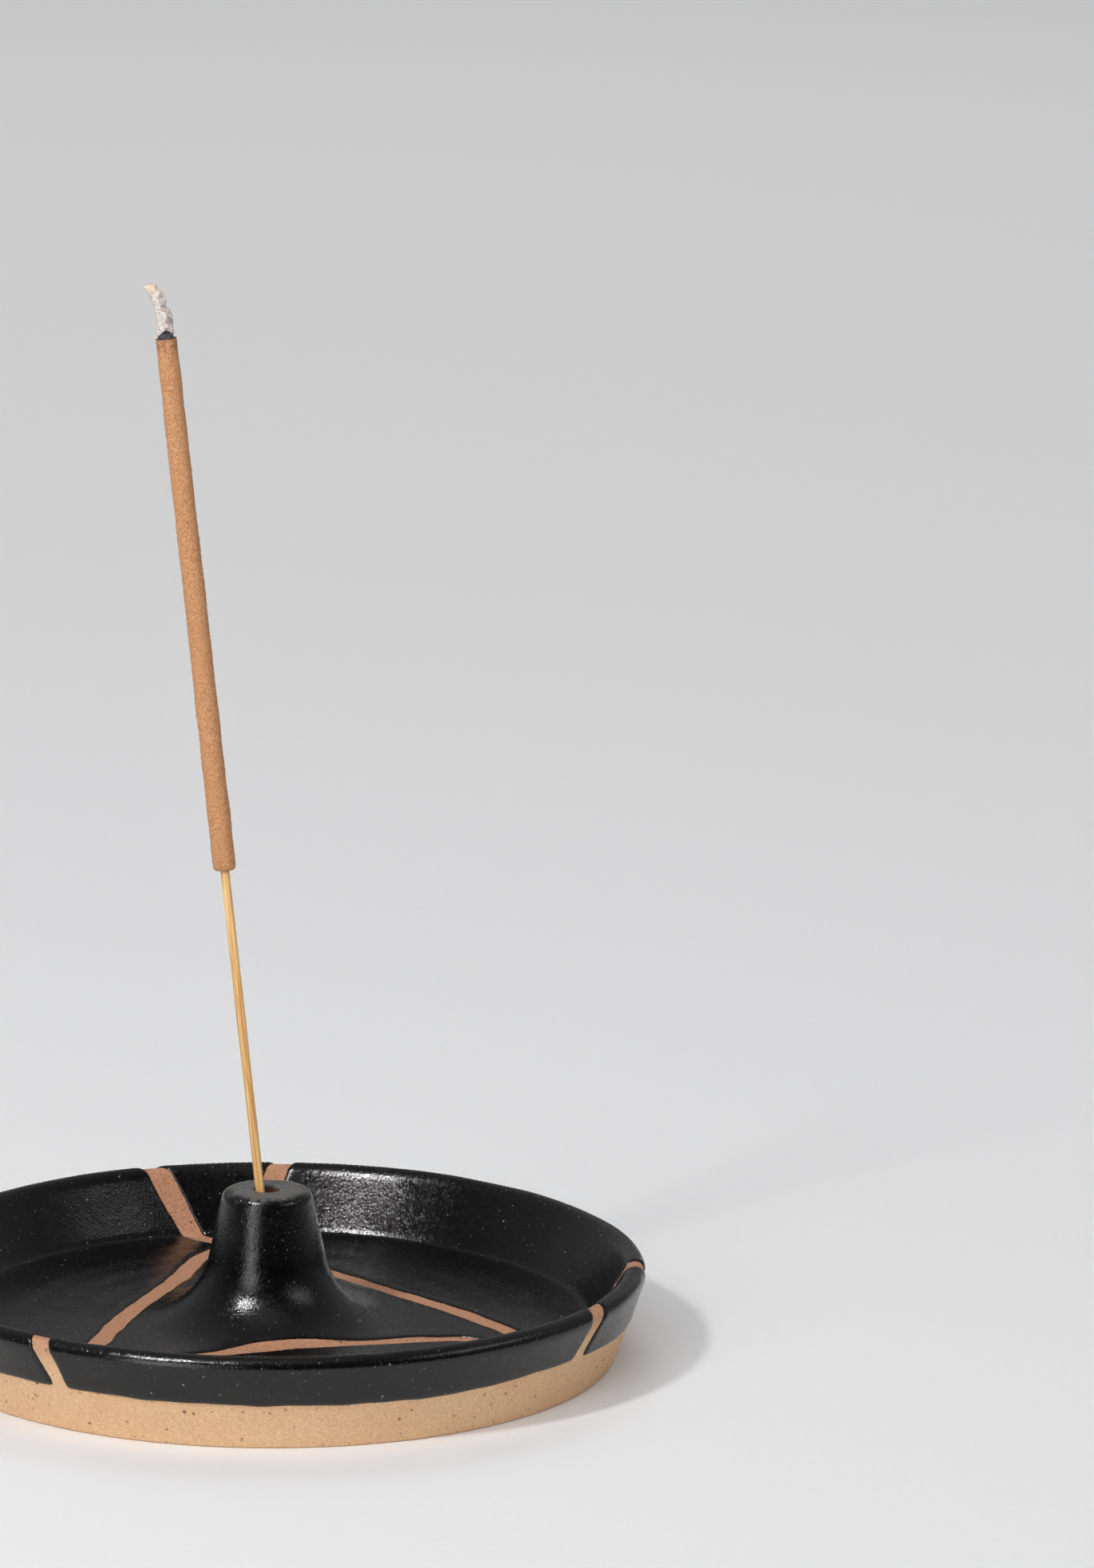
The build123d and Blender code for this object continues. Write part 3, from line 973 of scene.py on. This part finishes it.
def bamboo_material():
    n = Nodes("split_bamboo")
    streaks = n.noise(4200, 3, 0.6, stick_place(n, 40.0))
    patches = n.noise(500, 2, 0.5, stick_place(n, 6.0))
    colour = n.mix(n.ramp(streaks, 0.32, 0.68), tone(204, 142, 74), tone(250, 212, 150))
    colour = n.mix(n.ramp(patches, 0.45, 0.75, 0.0, 0.4), colour, tone(190, 140, 74))
    n.link(colour, n.shader.inputs["Base Color"])
    n.shader.inputs["Roughness"].default_value = 0.5
    n.link(n.bump(streaks, 0.00008), n.shader.inputs["Normal"])
    return n.material


def incense_material():
    n = Nodes("incense_paste")
    place = stick_place(n, 1.0)
    along = n.attribute("along")
    grain = n.noise(3600, 3, 0.65, place)
    patch = n.noise(330, 3, 0.5, stick_place(n, 3.0))
    colour = n.mix(n.ramp(grain, 0.30, 0.70), tone(168, 114, 74), tone(214, 163, 118))
    colour = n.mix(n.ramp(patch, 0.40, 0.75, 0.0, 0.45), colour, tone(196, 138, 92))
    dark = n.maths("MULTIPLY", n.ramp(n.cells(2300, place=place), 0.14, 0.28, 1.0, 0.0),
                   n.ramp(n.noise(1100, 1, 0.5, place), 0.50, 0.60))
    colour = n.mix(n.maths("MULTIPLY", dark, 0.55), colour, tone(104, 66, 44))
    heat = n.ramp(along, STICK_LENGTH - 3.2, STICK_LENGTH - 0.3)
    scorch = n.ramp(n.noise(1300, 2, 0.6, place), 0.42, 0.62, 0.1, 0.6)
    colour = n.mix(n.maths("MULTIPLY", heat, scorch), colour, tone(112, 62, 40))
    singe = n.ramp(along, STICK_LENGTH - 0.22, STICK_LENGTH)
    colour = n.mix(n.maths("MULTIPLY", singe, 0.6), colour, tone(72, 52, 46))
    n.link(colour, n.shader.inputs["Base Color"])
    n.shader.inputs["Roughness"].default_value = 0.92
    n.link(n.bump(grain, 0.00012), n.shader.inputs["Normal"])
    return n.material


def char_material():
    n = Nodes("charcoal")
    place = stick_place(n, 1.0)
    colour = n.mix(n.ramp(n.noise(2400, 3, 0.6, place), 0.35, 0.7), tone(34, 33, 38), tone(92, 90, 98))
    n.link(colour, n.shader.inputs["Base Color"])
    n.shader.inputs["Roughness"].default_value = 0.85
    n.link(n.bump(n.noise(3000, 3, 0.6, place), 0.00008), n.shader.inputs["Normal"])
    return n.material


def ash_material():
    n = Nodes("ash")
    place = stick_place(n, 1.0)
    along = n.attribute("along")
    across = n.attribute("across")
    powder = n.noise(3000, 3, 0.6, place)
    pit = n.ramp(n.noise(900, 3, 0.6, place), 0.50, 0.62)
    # Darker pits, strongest on the right side of the ash: real pits plus painted shade on the side away from
    # the key light.
    shaded = n.ramp(across, -0.4, 0.8, 1.0, 0.25)
    colour = n.mix(n.ramp(powder, 0.3, 0.7), tone(186, 174, 166), tone(232, 224, 218))
    colour = n.mix(n.maths("MULTIPLY", n.maths("MULTIPLY", pit, shaded), 0.8), colour, tone(146, 120, 114))
    tip = n.ramp(along, STICK_LENGTH + 6.4, STICK_LENGTH + 8.0)
    colour = n.mix(n.maths("MULTIPLY", tip, 0.55), colour, tone(236, 208, 168))
    n.link(colour, n.shader.inputs["Base Color"])
    n.shader.inputs["Roughness"].default_value = 1.0
    n.link(n.bump(powder, 0.0001), n.shader.inputs["Normal"])
    return n.material


# --------------------------------------------------------------------------- studio
FLOOR_HALF = 8.0


def add_floor():
    corners = [(FLOOR_HALF * x, FLOOR_HALF * y, 0) for x, y in ((-1, -1), (1, -1), (1, 1), (-1, 1))]
    mesh = bpy.data.meshes.new("floor")
    mesh.from_pydata(corners, [], [(0, 1, 2, 3)])
    n = Nodes("pale_floor")
    colour = n.mix(n.noise(900, 2), (0.80, 0.80, 0.81, 1), (0.83, 0.83, 0.84, 1))
    n.link(colour, n.shader.inputs["Base Color"])
    n.shader.inputs["Roughness"].default_value = 0.9
    mesh.materials.append(n.material)
    floor = bpy.data.objects.new("floor", mesh)
    bpy.context.scene.collection.objects.link(floor)


def light_from(name, kind, azimuth, elevation, distance, watts, mirrored, lit):
    """A light aimed at the dish. Azimuth 0 is the camera's side, and positive is to its left.

    A light that isn't mirrored has its reflection in the glaze filtered out, as with crossed polarisers.
    A light that isn't lit shows only as that reflection.
    """
    a, e = math.radians(azimuth), math.radians(elevation)
    way = Vector((-math.sin(a) * math.cos(e), -math.cos(a) * math.cos(e), math.sin(e)))
    data = bpy.data.lights.new(name, kind)
    data.energy = watts
    light = bpy.data.objects.new(name, data)
    light.location = way * distance + Vector((0, 0, 0.01))
    light.rotation_euler = way.to_track_quat("Z", "Y").to_euler()
    light.visible_glossy = mirrored
    light.visible_diffuse = lit
    light.visible_camera = False
    bpy.context.scene.collection.objects.link(light)
    return data


def add_softbox(name, azimuth, elevation, distance, size, watts, mirrored=True, lit=True):
    data = light_from(name, "AREA", azimuth, elevation, distance, watts, mirrored, lit)
    data.shape = "ELLIPSE"
    data.size, data.size_y = size


def add_far_light(name, azimuth, elevation, spread, strength):
    data = light_from(name, "SUN", azimuth, elevation, 3.0, strength, False, True)
    data.angle = math.radians(spread)


def add_world():
    """Pale room behind the object and above it, darker on the camera's side."""
    world = bpy.data.worlds.new("studio")
    world.use_nodes = True
    tree = world.node_tree
    coordinates = tree.nodes.new("ShaderNodeTexCoord")
    split = tree.nodes.new("ShaderNodeSeparateXYZ")
    tree.links.new(coordinates.outputs["Generated"], split.inputs["Vector"])
    spread = tree.nodes.new("ShaderNodeMapRange")
    spread.interpolation_type = "SMOOTHSTEP"
    spread.inputs["From Min"].default_value = -0.9
    spread.inputs["From Max"].default_value = 0.7
    spread.inputs["To Min"].default_value = 0.0
    spread.inputs["To Max"].default_value = 0.24
    tree.links.new(split.outputs["Y"], spread.inputs["Value"])
    back = tree.nodes["Background"]
    tree.links.new(spread.outputs["Result"], back.inputs["Strength"])
    back.inputs["Color"].default_value = (1, 1, 1, 1)
    bpy.context.scene.world = world


add_camera()
add_floor()
add_world()
add_softbox("key", azimuth=41, elevation=44, distance=1.0, size=(0.11, 0.11), watts=3.9, mirrored=False)
add_softbox("glint", azimuth=41, elevation=55, distance=1.0, size=(0.14, 0.14), watts=6.0, lit=False)
add_softbox("fill", azimuth=-54, elevation=31, distance=4.0, size=(2.4, 1.4), watts=11, mirrored=False)
add_softbox("sheen", azimuth=-66, elevation=36, distance=0.25, size=(0.15, 0.055), watts=0.034, lit=False)
add_softbox("strip", azimuth=30, elevation=17, distance=4.0, size=(1.7, 2.6), watts=33)
add_softbox("overhead", azimuth=0, elevation=75, distance=2.2, size=(1.4, 1.4), watts=1.2)
add_softbox("backdrop", azimuth=175, elevation=48, distance=3.0, size=(1.5, 1.5), watts=14, mirrored=False)
add_far_light("front", azimuth=-5, elevation=46, spread=70, strength=1.5)
bpy.context.scene.view_settings.view_transform = "Standard"

add_clay(clay_material())
add_glaze(glaze_material())
add_bamboo(bamboo_material())
add_paste(incense_material())
add_char(char_material())
add_ash(ash_material())
